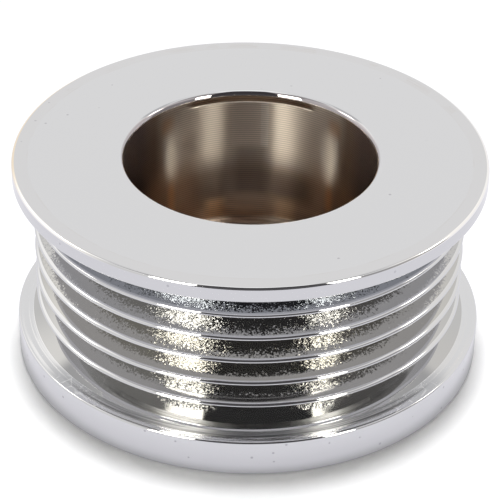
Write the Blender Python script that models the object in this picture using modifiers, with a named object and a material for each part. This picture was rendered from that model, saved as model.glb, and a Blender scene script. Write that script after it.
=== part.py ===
"""Six-groove ribbed belt pulley, turned from one piece of steel and chrome plated.

It stands on its rear face, with its axis on Z and its front face up. A thin front flange and a
thick rear flange hold the belt on five full ribs. The front is bored out deep for the shaft nut
and its socket, down to a web that the shaft's end passes through. All sizes are in metres.
"""

import math

import bpy
from mathutils import Vector

MM = 0.001

# The grooves follow the standard section for ribbed belts of 3.56 mm pitch
RIB_PITCH = 3.56 * MM
GROOVE_COUNT = 6
GROOVE_ANGLE = math.radians(40)
CREST_RADIUS = 0.42 * MM
ROOT_RADIUS = 0.35 * MM
RIB_DIAMETER = 59.2 * MM

# The flanges stand above the ribs, and are thickest where the outer groove flanks meet them
FLANGE_HEIGHT = 2.9 * MM
FLANK_OVERRUN = 0.55 * MM
FRONT_FLANGE_THICKNESS = 2.76 * MM
FRONT_FLANGE_TAPER = math.radians(12.5)
REAR_FLANGE_THICKNESS = 5.6 * MM
REAR_FLANGE_TAPER = math.radians(6)

# The counterbore runs from the front face down to the web
COUNTERBORE_DIAMETER = 34.5 * MM
WEB_THICKNESS = 6.2 * MM
SHAFT_HOLE_DIAMETER = 17 * MM

# Edges as the polishing before the plating left them
FRONT_EDGE_RADIUS = 0.5 * MM
RIM_EDGE_RADIUS = 0.3 * MM
REAR_EDGE_RADIUS = 0.4 * MM
MOUTH_RADIUS = 0.85 * MM
FLOOR_CORNER_RADIUS = 2.9 * MM
SHAFT_HOLE_CHAMFER = 0.5 * MM

# Facets of the solid
FACETS_AROUND = 90
WIDE_ARC_FACETS = 3
SMALL_ARC_FACETS = 2

COLOUR = (0.78, 0.78, 0.80, 1.0)
ROUGHNESS = 0.08


def corner(radius_out, height, rounding=0.0, facets=1):
    """A corner of the turned section, and the arc that rounds it."""
    return Vector((radius_out, 0.0, height)), rounding, facets


def rounded(corners):
    """Points of the closed section, with an arc in place of each rounded corner."""
    points = []
    for index, (tip, rounding, facets) in enumerate(corners):
        if rounding == 0:
            points.append(tip)
            continue
        to_last = (corners[index - 1][0] - tip).normalized()
        to_next = (corners[(index + 1) % len(corners)][0] - tip).normalized()
        half_angle = to_last.angle(to_next) / 2
        centre = tip + (to_last + to_next).normalized() * rounding / math.sin(half_angle)
        reach = rounding / math.tan(half_angle)
        first = (tip + to_last * reach - centre).normalized()
        last = (tip + to_next * reach - centre).normalized()
        turned = [first.slerp(last, step / facets) for step in range(facets + 1)]
        points += [centre + direction * rounding for direction in turned]
    return points


def groove_corners(front_groove_height):
    """The V of each groove from the front one down, with the tip of the rib after it.

    Each corner is where the straight flanks would meet. Its arc brings a rib's tip back to the
    rib diameter and leaves the groove's root that much less deep.
    """
    flank_slope = math.tan(GROOVE_ANGLE / 2)
    arc_to_tip = 1 / math.sin(GROOVE_ANGLE / 2) - 1
    sharp_tip = RIB_DIAMETER / 2 + CREST_RADIUS * arc_to_tip
    sharp_root = sharp_tip - RIB_PITCH / 2 / flank_slope
    corners = []
    for groove in range(GROOVE_COUNT):
        height = front_groove_height - groove * RIB_PITCH
        corners.append(corner(sharp_root, height, ROOT_RADIUS, SMALL_ARC_FACETS))
        if groove < GROOVE_COUNT - 1:
            corners.append(corner(sharp_tip, height - RIB_PITCH / 2, CREST_RADIUS, WIDE_ARC_FACETS))
    overrun_width = RIB_PITCH / 2 + (RIB_DIAMETER / 2 + FLANK_OVERRUN - sharp_tip) * flank_slope
    return corners, overrun_width


def section():
    """Corners of the pulley's half section, down its outside and back up its bore."""
    rib_radius = RIB_DIAMETER / 2
    flange_radius = rib_radius + FLANGE_HEIGHT
    shoulder_radius = rib_radius + FLANK_OVERRUN
    height = REAR_FLANGE_THICKNESS + GROOVE_COUNT * RIB_PITCH + FRONT_FLANGE_THICKNESS
    front_groove = height - FRONT_FLANGE_THICKNESS - RIB_PITCH / 2
    rear_groove = REAR_FLANGE_THICKNESS + RIB_PITCH / 2
    grooves, overrun_width = groove_corners(front_groove)
    shoulder_to_rim = flange_radius - shoulder_radius
    front_shoulder = front_groove + overrun_width
    rear_shoulder = rear_groove - overrun_width
    front_rim = front_shoulder + shoulder_to_rim * math.tan(FRONT_FLANGE_TAPER)
    rear_rim = rear_shoulder - shoulder_to_rim * math.tan(REAR_FLANGE_TAPER)
    outside = [
        corner(flange_radius, height, FRONT_EDGE_RADIUS, WIDE_ARC_FACETS),
        corner(flange_radius, front_rim, RIM_EDGE_RADIUS, SMALL_ARC_FACETS),
        corner(shoulder_radius, front_shoulder),
        *grooves,
        corner(shoulder_radius, rear_shoulder),
        corner(flange_radius, rear_rim, RIM_EDGE_RADIUS, SMALL_ARC_FACETS),
        corner(flange_radius, 0, REAR_EDGE_RADIUS, SMALL_ARC_FACETS),
    ]
    hole_radius = SHAFT_HOLE_DIAMETER / 2
    bore_radius = COUNTERBORE_DIAMETER / 2
    bore = [
        corner(hole_radius + SHAFT_HOLE_CHAMFER, 0),
        corner(hole_radius, SHAFT_HOLE_CHAMFER),
        corner(hole_radius, WEB_THICKNESS - SHAFT_HOLE_CHAMFER),
        corner(hole_radius + SHAFT_HOLE_CHAMFER, WEB_THICKNESS),
        corner(bore_radius, WEB_THICKNESS, FLOOR_CORNER_RADIUS, WIDE_ARC_FACETS),
        corner(bore_radius, height, MOUTH_RADIUS, WIDE_ARC_FACETS),
    ]
    return outside + bore


def chrome():
    """Bright chrome plate over polished steel."""
    material = bpy.data.materials.new("chrome_plate")
    material.use_nodes = True
    principled = material.node_tree.nodes["Principled BSDF"]
    principled.inputs["Base Color"].default_value = COLOUR
    principled.inputs["Metallic"].default_value = 1.0
    principled.inputs["Roughness"].default_value = ROUGHNESS
    material.diffuse_color = COLOUR
    return material


def turn_pulley(collection):
    """The half section, turned about Z by a Screw modifier."""
    points = rounded(section())
    edges = [(index, (index + 1) % len(points)) for index in range(len(points))]
    mesh = bpy.data.meshes.new("pulley")
    mesh.from_pydata(points, edges, [])
    mesh.materials.append(chrome())
    pulley = bpy.data.objects.new("pulley", mesh)
    collection.objects.link(pulley)
    turning = pulley.modifiers.new("turning", "SCREW")
    turning.axis = "Z"
    turning.angle = 2 * math.pi
    turning.steps = FACETS_AROUND
    turning.render_steps = FACETS_AROUND
    turning.use_merge_vertices = True
    turning.merge_threshold = 0.00001
    turning.use_smooth_shade = True
    shading = pulley.modifiers.new("flat_faces_stay_flat", "WEIGHTED_NORMAL")
    shading.mode = "FACE_AREA"
    return pulley


for old in list(bpy.data.objects):
    bpy.data.objects.remove(old, do_unlink=True)
pulley_collection = bpy.data.collections.new("ribbed_belt_pulley")
bpy.context.scene.collection.children.link(pulley_collection)
turn_pulley(pulley_collection)
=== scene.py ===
"""A chrome-plated ribbed belt pulley, standing on its rear face on a white studio floor."""

import math

import bmesh
import bpy
from mathutils import Matrix, Vector


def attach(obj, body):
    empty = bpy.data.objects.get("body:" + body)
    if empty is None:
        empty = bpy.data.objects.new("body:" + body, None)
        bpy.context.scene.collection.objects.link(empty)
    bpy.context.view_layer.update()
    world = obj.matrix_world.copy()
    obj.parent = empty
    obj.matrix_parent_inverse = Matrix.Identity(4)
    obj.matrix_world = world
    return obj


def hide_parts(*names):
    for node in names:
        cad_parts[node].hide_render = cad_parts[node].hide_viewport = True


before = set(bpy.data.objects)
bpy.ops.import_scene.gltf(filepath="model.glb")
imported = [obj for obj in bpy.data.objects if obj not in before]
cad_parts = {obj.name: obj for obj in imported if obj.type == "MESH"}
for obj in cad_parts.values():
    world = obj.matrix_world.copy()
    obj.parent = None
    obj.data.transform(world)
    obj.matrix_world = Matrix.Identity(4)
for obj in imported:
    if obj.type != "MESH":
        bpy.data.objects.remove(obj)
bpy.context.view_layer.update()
MM = 0.001

# The turned body. The real pulley is one piece of steel, turned on a lathe: a thin front flange,
# six grooves with five ribs between them, a thick rear flange, and a deep bore with a web at its
# rear end. Here its half section is drawn once, its corners are rounded, and it is spun about Z.
RIB_PITCH = 3.56 * MM
GROOVES = 6
FLANK_ANGLE = math.radians(20)
CREST_ROUNDING = 0.42 * MM
ROOT_ROUNDING = 0.35 * MM
RIB_RADIUS = 29.6 * MM
FLANGE_RADIUS = 32.5 * MM
FLANK_OVERRUN = 0.55 * MM
FRONT_FLANGE = 2.76 * MM
FRONT_TAPER = math.radians(15.8)
FRONT_EDGE_ROUNDING = 0.42 * MM
REAR_FLANGE = 5.6 * MM
REAR_TAPER = math.radians(8.2)
REAR_FLANK_END = 30.4 * MM
REAR_FLANK_ROUNDING = 0.6 * MM
REAR_EDGE_ROUNDING = 0.4 * MM
RIM_EDGE_ROUNDING = 0.3 * MM
BORE_RADIUS = 17.25 * MM
MOUTH_ROUNDING = 0.85 * MM
FLOOR_ROUNDING = 2.9 * MM
WEB = 6.2 * MM
SHAFT_HOLE_RADIUS = 8.5 * MM
SHAFT_HOLE_CHAMFER = 0.5 * MM
CREASE_ROUNDING = 0.1 * MM
HEIGHT = REAR_FLANGE + GROOVES * RIB_PITCH + FRONT_FLANGE
QUARTER_FACETS = 120
MERGE = 0.001 * MM


def round_corner(section, tip, rounding, facets):
    """Turns one corner of the section into an arc that meets both its sides smoothly."""
    sides = [(edge.other_vert(tip).co - tip.co) for edge in tip.link_edges]
    half_angle = sides[0].angle(sides[1]) / 2
    bmesh.ops.bevel(
        section,
        geom=[tip],
        offset=rounding / math.tan(half_angle),
        offset_type="OFFSET",
        affect="VERTICES",
        segments=facets,
        profile=0.5,
        material=-1,
    )


def section_corners():
    """Corners down the outside and back up the bore: radius, height, rounding, facets."""
    flank = math.tan(FLANK_ANGLE)
    past_arc = 1 / math.sin(FLANK_ANGLE) - 1
    sharp_tip = RIB_RADIUS + CREST_ROUNDING * past_arc
    sharp_root = sharp_tip - RIB_PITCH / 2 / flank
    shoulder = RIB_RADIUS + FLANK_OVERRUN
    rim_width = FLANGE_RADIUS - shoulder
    front_groove = HEIGHT - FRONT_FLANGE - RIB_PITCH / 2
    rear_groove = REAR_FLANGE + RIB_PITCH / 2
    overrun = RIB_PITCH / 2 + (shoulder - sharp_tip) * flank
    rear_overrun = RIB_PITCH / 2 + (REAR_FLANK_END - sharp_tip) * flank
    front_rim = front_groove + overrun + rim_width * math.tan(FRONT_TAPER)
    rear_rim = rear_groove - rear_overrun - (FLANGE_RADIUS - REAR_FLANK_END) * math.tan(REAR_TAPER)
    chamfered_radius = SHAFT_HOLE_RADIUS + SHAFT_HOLE_CHAMFER
    corners = [
        (FLANGE_RADIUS, HEIGHT, FRONT_EDGE_ROUNDING, 10),
        (FLANGE_RADIUS, front_rim, RIM_EDGE_ROUNDING, 6),
        (shoulder, front_groove + overrun, CREASE_ROUNDING, 2),
    ]
    for groove in range(GROOVES):
        height = front_groove - groove * RIB_PITCH
        corners.append((sharp_root, height, ROOT_ROUNDING, 6))
        if groove < GROOVES - 1:
            corners.append((sharp_tip, height - RIB_PITCH / 2, CREST_ROUNDING, 12))
    corners += [
        (REAR_FLANK_END, rear_groove - rear_overrun, REAR_FLANK_ROUNDING, 3),
        (FLANGE_RADIUS, rear_rim, RIM_EDGE_ROUNDING, 8),
        (FLANGE_RADIUS, 0, REAR_EDGE_ROUNDING, 6),
        (chamfered_radius, 0, CREASE_ROUNDING, 2),
        (SHAFT_HOLE_RADIUS, SHAFT_HOLE_CHAMFER, CREASE_ROUNDING, 2),
        (SHAFT_HOLE_RADIUS, WEB - SHAFT_HOLE_CHAMFER, CREASE_ROUNDING, 2),
        (chamfered_radius, WEB, CREASE_ROUNDING, 2),
        (BORE_RADIUS, WEB, FLOOR_ROUNDING, 14),
        (BORE_RADIUS, HEIGHT, MOUTH_ROUNDING, 16),
    ]
    return corners


def turned_body():
    """A quarter turn of the section, mirrored twice."""
    body = bmesh.new()
    corners = section_corners()
    tips = [body.verts.new((radius, 0, height)) for radius, height, _, _ in corners]
    for last, tip in zip(tips, tips[1:] + tips[:1]):
        body.edges.new((last, tip))
    for tip, (_, _, rounding, facets) in zip(tips, corners):
        round_corner(body, tip, rounding, facets)
    bmesh.ops.spin(
        body,
        geom=body.verts[:] + body.edges[:],
        cent=(0, 0, 0),
        axis=(0, 0, 1),
        angle=math.pi / 2,
        steps=QUARTER_FACETS,
    )
    for axis in "XY":
        whole = body.verts[:] + body.edges[:] + body.faces[:]
        bmesh.ops.mirror(body, geom=whole, axis=axis, merge_dist=MERGE)
    bmesh.ops.remove_doubles(body, verts=body.verts[:], dist=MERGE)
    bmesh.ops.recalc_face_normals(body, faces=body.faces[:])
    for face in body.faces:
        face.smooth = True
    mesh = bpy.data.meshes.new("pulley_body")
    body.to_mesh(mesh)
    body.free()
    return mesh


pulley = bpy.data.objects.new("pulley_body", turned_body())
bpy.context.scene.collection.objects.link(pulley)
true_flats = pulley.modifiers.new("true_flats", "WEIGHTED_NORMAL")
true_flats.mode = "FACE_AREA"
true_flats.weight = 100


# The plating's finish. Bright chrome lies thick and smooth on the faces, rims and rib crests. It
# is granular in the grooves, and thin in the bore, where the nickel under it shows brownish;
# painted reflections and painted shade lie over that brown.
class Wire:
    """A shader value that Python's operators work on by adding Math nodes."""

    def __init__(self, tree, socket):
        self.tree = tree
        self.socket = socket

    def node(self, kind, settings=None, inputs=None, output=0):
        """Any node: its settings are made first, then the values or links of its sockets."""
        made = self.tree.nodes.new(kind)
        for name, value in (settings or {}).items():
            setattr(made, name, value)
        for name, value in (inputs or {}).items():
            if isinstance(value, Wire):
                self.tree.links.new(value.socket, made.inputs[name])
            else:
                made.inputs[name].default_value = value
        return Wire(self.tree, made.outputs[output])

    def math(self, operation, *others, clamp=False):
        values = dict(enumerate((self, *others)))
        return self.node("ShaderNodeMath", {"operation": operation, "use_clamp": clamp}, values)

    def __add__(self, other):
        return self.math("ADD", other)

    def __sub__(self, other):
        return self.math("SUBTRACT", other)

    def __mul__(self, other):
        return self.math("MULTIPLY", other)

    def __truediv__(self, other):
        return self.math("DIVIDE", other)

    def __neg__(self):
        return self * -1

    def __radd__(self, other):
        return self + other

    def __rsub__(self, other):
        return -self + other

    def __rmul__(self, other):
        return self * other

    def smooth_step(self, low, high):
        """0 below low and 1 above high, or the other way round where high is the lower one."""
        settings = {"interpolation_type": "SMOOTHSTEP"}
        bounds = {"From Min": min(low, high), "From Max": max(low, high)}
        ends = {"To Min": 0.0, "To Max": 1.0} if low < high else {"To Min": 1.0, "To Max": 0.0}
        return self.node("ShaderNodeMapRange", settings, {"Value": self, **bounds, **ends})

    def band(self, low, high, soft):
        """1 between low and high, with soft edges half inside and half outside."""
        rise = self.smooth_step(low - soft / 2, low + soft / 2)
        return rise * self.smooth_step(high + soft / 2, high - soft / 2)

    def mix(self, low, high):
        """The colour low where this is 0, and high where it is 1."""
        sockets = {0: self, 6: low, 7: high}
        return self.node("ShaderNodeMix", {"data_type": "RGBA"}, sockets, output=2)

    def vector(self, operation, *others):
        values = dict(enumerate((self, *others)))
        return self.node("ShaderNodeVectorMath", {"operation": operation}, values)

    def scaled(self, amount):
        """This vector, made longer or shorter."""
        return self.node("ShaderNodeVectorMath", {"operation": "SCALE"}, {0: self, 3: amount})

    def split(self):
        """The three numbers of a vector."""
        return [
            self.node("ShaderNodeSeparateXYZ", None, {0: self}, output=axis) for axis in range(3)
        ]

    def cloud(self, scale, detail=1.0):
        """Soft noise over the places that this vector gives."""
        sockets = {"Vector": self, "Scale": scale, "Detail": detail}
        return self.node("ShaderNodeTexNoise", None, sockets)

    def cells(self, scale, feature="F1", output=0):
        """Cells of the size that scale gives: how far in a point is, or with output 1 a colour."""
        sockets = {"Vector": self, "Scale": scale}
        return self.node("ShaderNodeTexVoronoi", {"feature": feature}, sockets, output=output)


def start_of(tree, kind, output):
    """A value that a node without inputs gives."""
    source = tree.nodes.new(kind)
    return Wire(tree, source.outputs[output])


def feed(shader, name, wire):
    wire.tree.links.new(wire.socket, shader.inputs[name])


def metal(name):
    """A metal to finish: its material, its shader, and the place of each point."""
    material = bpy.data.materials.new(name)
    material.use_nodes = True
    shader = material.node_tree.nodes["Principled BSDF"]
    shader.inputs["Metallic"].default_value = 1.0
    return material, shader, start_of(material.node_tree, "ShaderNodeTexCoord", "Object")


TO_DEGREES = 180 / math.pi


def degrees_from_front(x, y):
    return x.math("ARCTAN2", -y) * TO_DEGREES


def out_from_axis(x, y):
    return (x * x + y * y).math("SQRT")


def leaning_normal(x, y, radius, slope, turn=0.0):
    """The surface's own normal, leaning by slope in the plane of the axis: outwards on a flat face
    and upwards in the bore, as a turning tool's marks lean. Turn leans it round the axis."""
    own = start_of(x.tree, "ShaderNodeTexCoord", "Normal")
    around = x.node("ShaderNodeCombineXYZ", None, {0: -y / radius, 1: x / radius})
    leaning = around.vector("CROSS_PRODUCT", own).scaled(slope)
    leaning = leaning.vector("ADD", around.scaled(turn))
    unit = own.vector("ADD", leaning).vector("NORMALIZE")
    settings = {"vector_type": "NORMAL", "convert_from": "OBJECT", "convert_to": "WORLD"}
    return unit.node("ShaderNodeVectorTransform", settings, {0: unit})


WHITE = (1, 1, 1, 1)
BLACK = (0, 0, 0, 1)
CHROME = (0.690, 0.692, 0.700, 1)
MOUTH_CHROME = (0.45, 0.42, 0.43, 1)
# The dark grey of the painted shade on the satin face
SHADED_SATIN_CHROME = (0.22, 0.22, 0.22, 1)
STAIN = (0.50, 0.42, 0.35, 1)
PIT = (0.30, 0.29, 0.32, 1)
# Colours of the painted reflections on the front face's outer edge
EDGE_HIGHLIGHT = (1, 0.98, 0.95, 1)
TAN_EDGE_REFLECTION = (0.90, 0.77, 0.60, 1)
LINE = 0.1 * MM
STREAKS_PER_METRE = 7000
SCRATCHES_PER_METRE = 600.0
PITS_PER_METRE = 700.0
PATCHES_PER_METRE = 260.0


def pitted(place, plate, radius, height):
    """The plate with small dark pits, which are more frequent on the rear rim."""
    pits = place.cells(PITS_PER_METRE).smooth_step(0.16, 0.10)
    kind = place.cells(PITS_PER_METRE, output=1).split()[0]
    on_rear_rim = height.band(0.5 * MM, 5 * MM, 0.2 * MM) * 0.4
    pits = pits * (kind + on_rear_rim).smooth_step(0.95, 0.97)
    pits = pits * radius.smooth_step(17.7 * MM, 18 * MM)
    return (pits * 0.4).mix(plate, PIT)


def polished_chrome():
    """Bright chrome. The rear flange's inner face is satin, with the rings of its last cut, and
    painted shade where it faces the front.
    """
    material, shader, place = metal("polished_chrome")
    x, y, height = place.split()
    radius = out_from_axis(x, y)
    turn = degrees_from_front(x, y)
    to_side = turn.math("ABSOLUTE")
    patches = place.cloud(PATCHES_PER_METRE)

    satin = height.band(5.05 * MM, 5.75 * MM, LINE) * radius.band(30.35 * MM, 32.1 * MM, LINE)
    ringed = x.node("ShaderNodeCombineXYZ", None, {0: radius * STREAKS_PER_METRE, 1: turn * 0.07})
    streaks = ringed.cloud(1.0).smooth_step(0.35, 0.65)
    # Painted shade: inside 31.6 mm and within about 40 to 55 degrees of the front, the satin face
    # is darkened, with its streaks and a dark ring
    inner = radius.smooth_step(31.6 * MM, 31.45 * MM) * to_side.smooth_step(55, 40)
    dark_ring = radius.band(31.15 * MM, 31.35 * MM, LINE) * 0.4
    satin_streaks_and_shade = satin * ((streaks * 0.55 + dark_ring + 0.3) * inner)
    scratches = place.cells(SCRATCHES_PER_METRE, "DISTANCE_TO_EDGE").smooth_step(0.09, 0.03)
    scratches = scratches * patches.smooth_step(0.44, 0.52) * to_side.band(36, 53, 6) * 0.6
    plate = radius.smooth_step(17.5 * MM, 17.75 * MM).mix(MOUTH_CHROME, CHROME)
    plate = (scratches * satin).mix(plate, WHITE)

    # The front face is buffed near its rim, a little stained and scuffed, with painted reflections
    # on its edge
    on_front = height.smooth_step(HEIGHT - 0.05 * MM, HEIGHT - 0.01 * MM)
    edge_line = radius.band(30.25 * MM, 30.45 * MM, 0.15 * MM) * patches.smooth_step(0.4, 0.6)
    buffed = radius.smooth_step(30.2 * MM, 30.5 * MM) * 0.05 + edge_line * 0.08
    scuffs = streaks * patches.smooth_step(0.56, 0.62)
    scuffs = scuffs * radius.band(30.6 * MM, 31.6 * MM, 0.4 * MM)
    buffed = buffed + scuffs * to_side.smooth_step(80, 105) * 0.15
    plate = (buffed * on_front).mix(plate, STAIN)
    # Painted reflections on the outer edge: bright sections to each side, tan ones far to the left
    edge_reflection = height.smooth_step(HEIGHT - 0.4 * MM, HEIGHT - 0.3 * MM)
    edge_reflection = radius.smooth_step(32.08 * MM, 32.2 * MM) * edge_reflection
    edge_reflection = edge_reflection * (turn.band(-130, -38, 14) + turn.band(36, 125, 14) * 0.8)
    plate = edge_reflection.mix(plate, turn.smooth_step(-65, -85).mix(EDGE_HIGHLIGHT, TAN_EDGE_REFLECTION))

    plate = pitted(place, plate, radius, height)
    feed(shader, "Base Color", satin_streaks_and_shade.mix(plate, SHADED_SATIN_CHROME))
    feed(shader, "Roughness", satin * (inner * 0.15 + 0.1) + 0.03)
    lean = ((31.5 * MM - radius) / (10 * MM)).math("MAXIMUM", 0) + streaks * 0.05
    lean = lean + to_side.smooth_step(38, 55) * 0.08
    lean = lean + radius.smooth_step(31.6 * MM, 31.75 * MM) * 0.09
    lean = lean + radius.band(30.96 * MM, 31.06 * MM, 0.06 * MM) * 0.14
    feed(shader, "Normal", leaning_normal(x, y, radius, lean * satin))
    return material


GROOVE_CHROME = (0.52, 0.518, 0.512, 1)
GOLDEN_CHROME = (0.53, 0.523, 0.503, 1)
BLUISH_CHROME = (0.455, 0.465, 0.48, 1)
GRAINS_PER_METRE = 6200.0
CLUMPS_PER_METRE = 500.0
GRAIN_TILT = 0.085
GRAINED_TO = (27.85 * MM, 0.75 * MM, 0.9 * MM)
GRAIN_BORDER = 0.5 * MM


def grained_normal(place, strength):
    """The surface's own normal, turned a little in each grain, and far in a few of them."""
    grains = place.cells(GRAINS_PER_METRE, output=1)
    turn = grains.vector("SUBTRACT", (0.5, 0.5, 0.5))
    share = turn.vector("MULTIPLY", turn)
    share = share.vector("MULTIPLY_ADD", (7.0, 7.0, 7.0), (1.0, 1.0, 1.0))
    turn = share.vector("MULTIPLY", turn).scaled(strength)
    own = start_of(place.tree, "ShaderNodeNewGeometry", "Normal")
    return own.vector("ADD", turn).vector("NORMALIZE")


def grained_chrome():
    """Chrome with grains on the grooves' lower flanks, further out in the upper grooves."""
    material, shader, place = metal("grained_chrome")
    x, y, height = place.split()
    radius = out_from_axis(x, y)
    tint = height.band(11 * MM, 19 * MM, 3 * MM).mix(GROOVE_CHROME, GOLDEN_CHROME)
    tint = height.smooth_step(22.6 * MM, 23.6 * MM).mix(tint, BLUISH_CHROME)
    feed(shader, "Base Color", tint)
    clumps = place.cloud(CLUMPS_PER_METRE, 2.0)
    lowest, step_up, second_step_up = GRAINED_TO
    limit = height.smooth_step(7 * MM, 11 * MM) * step_up + lowest
    limit = height.smooth_step(15 * MM, 16.5 * MM) * second_step_up + limit
    rough_part = ((limit - radius) / GRAIN_BORDER + 0.5).math("ADD", 0, clamp=True)
    fewer = height.band(12 * MM, 15.5 * MM, 0.5 * MM) * -0.2 + 1
    strength = rough_part * fewer * (clumps.smooth_step(0.3, 0.6) * 0.6 + 0.4)
    strength = strength * (height.smooth_step(22 * MM, 23 * MM) * 0.25 + 1)
    own = start_of(place.tree, "ShaderNodeTexCoord", "Normal")
    faces_up = own.split()[2].smooth_step(-0.1, 0.1)
    feed(shader, "Normal", grained_normal(place, strength * faces_up * GRAIN_TILT))
    feed(shader, "Roughness", strength * 0.04 + 0.05)
    return material


FEED_RINGS = 0.35 * MM
TOOL_MARKS = 0.11 * MM
BORE_FLOOR = (0.26, 0.20, 0.16, 1)


def bore_tint_and_painted_light(below, from_back):
    """The thin plate's brownish tints, by the depth below the front face and by the angle from the
    back of the bore, towards the right. The nickel's tone is real; the lighter and darker areas by
    angle, the warm bands and blobs and the pale pane are painted reflections, and the dark areas
    are painted shade."""
    to_side = from_back.math("ABSOLUTE")
    # The nickel's tone changes with the depth; its change with the angle is painted light, darker
    # towards the sides near the mouth and lighter towards them deeper down
    near_mouth = to_side.smooth_step(44, 53).mix((0.80, 0.70, 0.59, 1), (0.42, 0.32, 0.25, 1))
    deeper = to_side.smooth_step(20, 38).mix((0.32, 0.25, 0.20, 1), (0.66, 0.48, 0.34, 1))
    tint = below.smooth_step(8.5 * MM, 14 * MM).mix(near_mouth, deeper)
    tint = below.smooth_step(16 * MM, 19 * MM).mix(tint, (0.58, 0.42, 0.30, 1))
    # Painted shade: the sides go dark, above about 10 to 16 mm down
    ends = to_side.smooth_step(50, 66) * below.smooth_step(16 * MM, 10 * MM)
    tint = ends.mix(tint, (0.22, 0.17, 0.17, 1))

    # The foot of the wall and the start of the floor's rounded corner, with painted reflections:
    # lighter left of the back and darker right of it, and warm blobs 13 to 22 degrees to each side
    on_right = from_back.smooth_step(-3, 17)
    low_wall = on_right.mix((0.90, 0.67, 0.49, 1), (0.44, 0.33, 0.25, 1))
    low = below.smooth_step(18.4 * MM, 20 * MM) * from_back.smooth_step(-32, -22)
    tint = (low * from_back.smooth_step(60, 40)).mix(tint, low_wall)
    warm = from_back.band(-22, -13, 6) + from_back.band(13, 22, 6) * 0.4
    warm = warm * below.smooth_step(17 * MM, 18.5 * MM)
    tint = warm.mix(tint, (1, 0.68, 0.42, 1))
    in_corner = on_right.mix((0.56, 0.43, 0.34, 1), (0.15, 0.115, 0.09, 1))
    in_corner = to_side.smooth_step(60, 40).mix(BORE_FLOOR, in_corner)
    tint = below.smooth_step(20.6 * MM, 21.2 * MM).mix(tint, in_corner)
    tint = below.smooth_step(21.9 * MM, 22.5 * MM).mix(tint, BORE_FLOOR)

    # The two bright bands further round, warm above and below: painted reflections of lamps
    glow = to_side.band(40, 47, 5) * below.band(2 * MM, 4.5 * MM, 2 * MM) * 0.6
    tint = glow.mix(tint, (0.75, 0.45, 0.25, 1))
    glow = to_side.band(39, 43, 7) * below.band(5 * MM, 13 * MM, 6 * MM)
    tint = glow.mix(tint, (1, 0.88, 0.70, 1))
    glow = to_side.band(39.5, 43.5, 4) * below.band(13 * MM, 18 * MM, 3 * MM) * 0.9
    tint = glow.mix(tint, (0.95, 0.60, 0.34, 1))

    # A painted reflection of a pale pane at the back, and painted shade below it and to its right
    pane_reflection = from_back.band(-9.3, 8.3, 0.8) * 0.15 + from_back.band(4.6, 8.3, 0.8) * 0.35
    pane_reflection = pane_reflection * below.band(1.6 * MM, 9 * MM, 0.6 * MM)
    tint = pane_reflection.mix(tint, (1, 0.95, 0.88, 1))
    painted_shade = to_side.smooth_step(11, 4) * below.band(9 * MM, 17 * MM, 2 * MM) * 0.36
    painted_shade = painted_shade + from_back.band(9, 34, 14) * below.band(13 * MM, 18 * MM, 4 * MM) * 0.45
    return painted_shade.mix(tint, (0.06, 0.025, 0.01, 1))


def turned_nickel():
    """The bore: thin plate over nickel, with the rings and the finer marks of the turning; the
    rings' darkness is painted shade.
    """
    material, shader, place = metal("turned_nickel")
    x, y, height = place.split()
    radius = out_from_axis(x, y)
    below = HEIGHT - height
    from_back = x.math("ARCTAN2", y) * TO_DEGREES
    to_side = from_back.math("ABSOLUTE")
    # Painted shade: each feed ring darkens towards black at its middle, as shade in the turning's
    # hollows
    ring_shade = ((radius + below) / FEED_RINGS).math("FRACT").math("PINGPONG", 0.5) * 0.8
    feed(shader, "Base Color", ring_shade.mix(bore_tint_and_painted_light(below, from_back), BLACK))
    shader.inputs["Roughness"].default_value = 0.28
    mark = ((radius + below) / TOOL_MARKS).math("FRACT")
    lean = mark * 2 - 1
    slope = lean * (lean.math("ABSOLUTE").smooth_step(0.3, 0.65) * 0.45 + 0.12)
    bright = to_side.band(38, 44.5, 9) * below.band(5 * MM, 12 * MM, 6 * MM)
    slope = slope + mark.smooth_step(0.6, 0.75) * bright * 0.95
    marked = below.smooth_step(1.45 * MM, 1.6 * MM).math("MAXIMUM", to_side.smooth_step(26, 34))
    ledge = below.band(1.6 * MM, 1.76 * MM, 0.05 * MM) * to_side.smooth_step(32, 22) * 2.0
    turn = from_back.band(12, 30, 8) * 0.05 - from_back.band(-32, -10, 8) * 0.073
    feed(shader, "Normal", leaning_normal(x, y, radius, slope * marked + ledge, turn))
    return material


for finish in (polished_chrome(), grained_chrome(), turned_nickel()):
    pulley.data.materials.append(finish)
POLISHED, GRAINED, TURNED = range(3)
for face in pulley.data.polygons:
    out = math.hypot(face.center.x, face.center.y)
    level = face.center.z
    in_grooves = REAR_FLANGE - 0.2 * MM < level < HEIGHT - FRONT_FLANGE + 0.3 * MM
    if out < BORE_RADIUS + 0.05 * MM and 0.1 * MM < level:
        face.material_index = TURNED
    elif in_grooves and RIB_RADIUS - 5 * MM < out < RIB_RADIUS - 0.25 * MM:
        face.material_index = GRAINED
    else:
        face.material_index = POLISHED

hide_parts("pulley")
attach(pulley, "root")

# The floor: a plain white sheet of card that the pulley stands on, lit softly so that it shows
# white, with the pulley's soft shadow on it. It glows a little outside the pulley's foot, less
# near the foot as a painted contact shadow, and gives the plating a pale card to mirror that
# darkens towards the foot as a painted shadow.
SHEET_REACH = 0.7
SHEET_FRONT = -0.15
UNDER_THE_PULLEY = 0.02 * MM
FOOT = (31.8 * MM, 32.4 * MM)
MIRRORED_SHADOW_REACH = (34.8 * MM, 31.6 * MM)
GLOW_SHADOW_REACH = (36.5 * MM, 32.4 * MM)
floor_mesh = bpy.data.meshes.new("floor")
sheet = bmesh.new()
bmesh.ops.create_grid(sheet, x_segments=1, y_segments=1, size=1)
for corner in sheet.verts:
    corner.co.x *= SHEET_REACH
    corner.co.y = SHEET_REACH if corner.co.y > 0 else SHEET_FRONT
sheet.to_mesh(floor_mesh)
sheet.free()
floor = bpy.data.objects.new("floor", floor_mesh)
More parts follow.
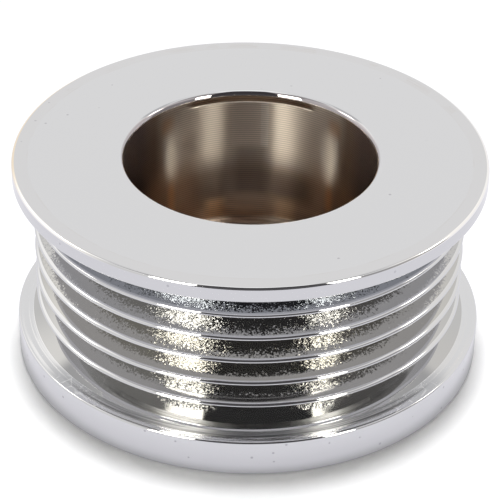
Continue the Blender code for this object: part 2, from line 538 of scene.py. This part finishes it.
floor.location.z = -UNDER_THE_PULLEY
bpy.context.scene.collection.objects.link(floor)
card = bpy.data.materials.new("white_card")
card.use_nodes = True
card_shader = card.node_tree.nodes["Principled BSDF"]
card_shader.inputs["Base Color"].default_value = (0.78, 0.78, 0.79, 1)
card_shader.inputs["Roughness"].default_value = 0.9
card_shader.inputs["Specular IOR Level"].default_value = 0.0
card_shader.inputs["Emission Strength"].default_value = 1.0
in_mirror = start_of(card.node_tree, "ShaderNodeLightPath", "Is Glossy Ray")
spot = start_of(card.node_tree, "ShaderNodeTexCoord", "Object")
from_axis = spot.node("ShaderNodeVectorMath", {"operation": "LENGTH"}, {0: spot}, output=1)
outside = from_axis.smooth_step(*FOOT)
# Painted shadow: the glow is halved near the foot
glow_with_painted_shadow = from_axis.smooth_step(*GLOW_SHADOW_REACH).mix((0.30, 0.30, 0.30, 1), (0.15, 0.15, 0.15, 1))
feed(card_shader, "Emission Color", outside.mix(BLACK, glow_with_painted_shadow))
# Painted shadow: the card that the plating mirrors darkens from pale to dark grey towards the foot
mirrored_card_with_painted_shadow = from_axis.smooth_step(*MIRRORED_SHADOW_REACH).mix((0.85, 0.84, 0.90, 1), (0.30, 0.30, 0.31, 1))
glow = in_mirror.node("ShaderNodeEmission", None, {"Color": mirrored_card_with_painted_shadow, "Strength": 1.0})
share = in_mirror * outside * 0.75
lit_card = Wire(card.node_tree, card_shader.outputs[0])
seen_card = share.node("ShaderNodeMixShader", None, {0: share, 1: lit_card, 2: glow})
card_output = card.node_tree.nodes["Material Output"]
card.node_tree.links.new(seen_card.socket, card_output.inputs["Surface"])
floor_mesh.materials.append(card)

# The light: an overhead soft light for the shadow, and the studio itself, which the plating
# mirrors: white walls, a dark gap where the camera stands, and a tall lamp on each side of it.
overhead = bpy.data.lights.new("overhead", "SUN")
overhead.energy = 2.9
overhead.angle = math.radians(10)
overhead_lamp = bpy.data.objects.new("overhead", overhead)
overhead_lamp.rotation_euler = (math.radians(-7), 0, 0)
overhead_lamp.visible_glossy = False
bpy.context.scene.collection.objects.link(overhead_lamp)

studio = bpy.data.worlds.new("studio")
bpy.context.scene.world = studio
studio.use_nodes = True
studio_tree = studio.node_tree
direction = start_of(studio_tree, "ShaderNodeTexCoord", "Generated")
across, away, up = direction.split()
azimuth = degrees_from_front(across, away)
elevation = up.math("ARCSINE") * TO_DEGREES
leaning = azimuth * (1 - (elevation / 90).math("POWER", 2) * 0.55)

WALLS = (0.96, 0.955, 0.955, 1)
PALE_GREY = (0.62, 0.62, 0.63, 1)
SIDE_LAMP = (9.0, 8.7, 8.1, 1)
ABOVE_LAMP = (0.45, 0.44, 0.43, 1)
TALL_LAMP = (12.0, 11.7, 10.8, 1)
# Each patch lies over the ones before it: the angle that bounds it and its two limits, its lowest
# and highest elevation, its soft border, all in degrees, and its colour
PATCHES = [
    (azimuth, -200, 200, 76, 110, 6, (1.3, 1.3, 1.3, 1)),
    (azimuth, -118, 118, 57, 73, 4, (0.50, 0.49, 0.49, 1)),
    (azimuth, -145, -93, 18, 56, 8, (1.25, 1.23, 1.2, 1)),
    (azimuth, 98, 145, 18, 56, 8, (1.0, 0.98, 0.96, 1)),
    (azimuth, -162, -122, 44, 57, 4, PALE_GREY),
    (azimuth, 122, 162, 44, 57, 4, PALE_GREY),
    (azimuth, -93, -40, -30, 42, 5, (0.85, 0.84, 0.83, 1)),
    (azimuth, 45, 98, -30, 42, 5, (0.42, 0.41, 0.41, 1)),
    (leaning, -25, 37, -40, 82, 0.6, (0.085, 0.08, 0.085, 1)),
    (leaning, -25, 37, 10, 27, 0.6, (0.13, 0.13, 0.135, 1)),
    (azimuth, -116, -96, 38, 43, 8, SIDE_LAMP),
    (azimuth, 98, 116, 38, 43, 8, SIDE_LAMP),
    (leaning, -50, -22, 49, 74, 2, ABOVE_LAMP),
    (leaning, 36, 52, 49, 74, 2, ABOVE_LAMP),
    (leaning, -44, -23, 17.5, 49, 0.6, TALL_LAMP),
    (leaning, 36, 50, 17.5, 49, 0.6, TALL_LAMP),
]
lit = WALLS
for bound, left, right, low, high, soft, colour in PATCHES:
    patch = bound.band(left, right, soft) * elevation.band(low, high, soft)
    lit = patch.mix(lit, colour)
seen = start_of(studio_tree, "ShaderNodeLightPath", "Is Camera Ray")
mirrored = start_of(studio_tree, "ShaderNodeLightPath", "Is Glossy Ray")
dim = (0.06, 0.06, 0.06, 1)
sky = seen.mix(mirrored.mix(dim, lit), WHITE)
background = studio_tree.nodes["Background"]
studio_tree.links.new(sky.socket, background.inputs["Color"])

# The camera: a long lens, a little over 30 cm away, looking down 33 degrees at the front face.
CAMERA_DISTANCE = 304.96 * MM
CAMERA_ELEVATION = math.radians(33.41)
CAMERA_ROLL = math.radians(1.06)
AIM = Vector((0.16, 0, 13.98)) * MM
FRAME_PIXELS = 500
FOCAL_PIXELS = 2174
lens = bpy.data.cameras.new("camera")
lens.sensor_width = 36
lens.lens = lens.sensor_width * FOCAL_PIXELS / FRAME_PIXELS
lens.clip_start = 0.01
camera = bpy.data.objects.new("camera", lens)
back = Vector((0, -math.cos(CAMERA_ELEVATION), math.sin(CAMERA_ELEVATION)))
upright = Matrix.Rotation(math.pi / 2 - CAMERA_ELEVATION, 4, "X")
rolled = Matrix.Rotation(CAMERA_ROLL, 4, "Z")
camera.matrix_world = Matrix.Translation(AIM + back * CAMERA_DISTANCE) @ upright @ rolled
bpy.context.scene.collection.objects.link(camera)
bpy.context.scene.camera = camera

# The grooves and the bore mirror themselves many times over, so the light may bounce that often.
MIRRORINGS = 24
scene = bpy.context.scene
scene.view_settings.view_transform = "Standard"
scene.cycles.max_bounces = MIRRORINGS
scene.cycles.glossy_bounces = MIRRORINGS
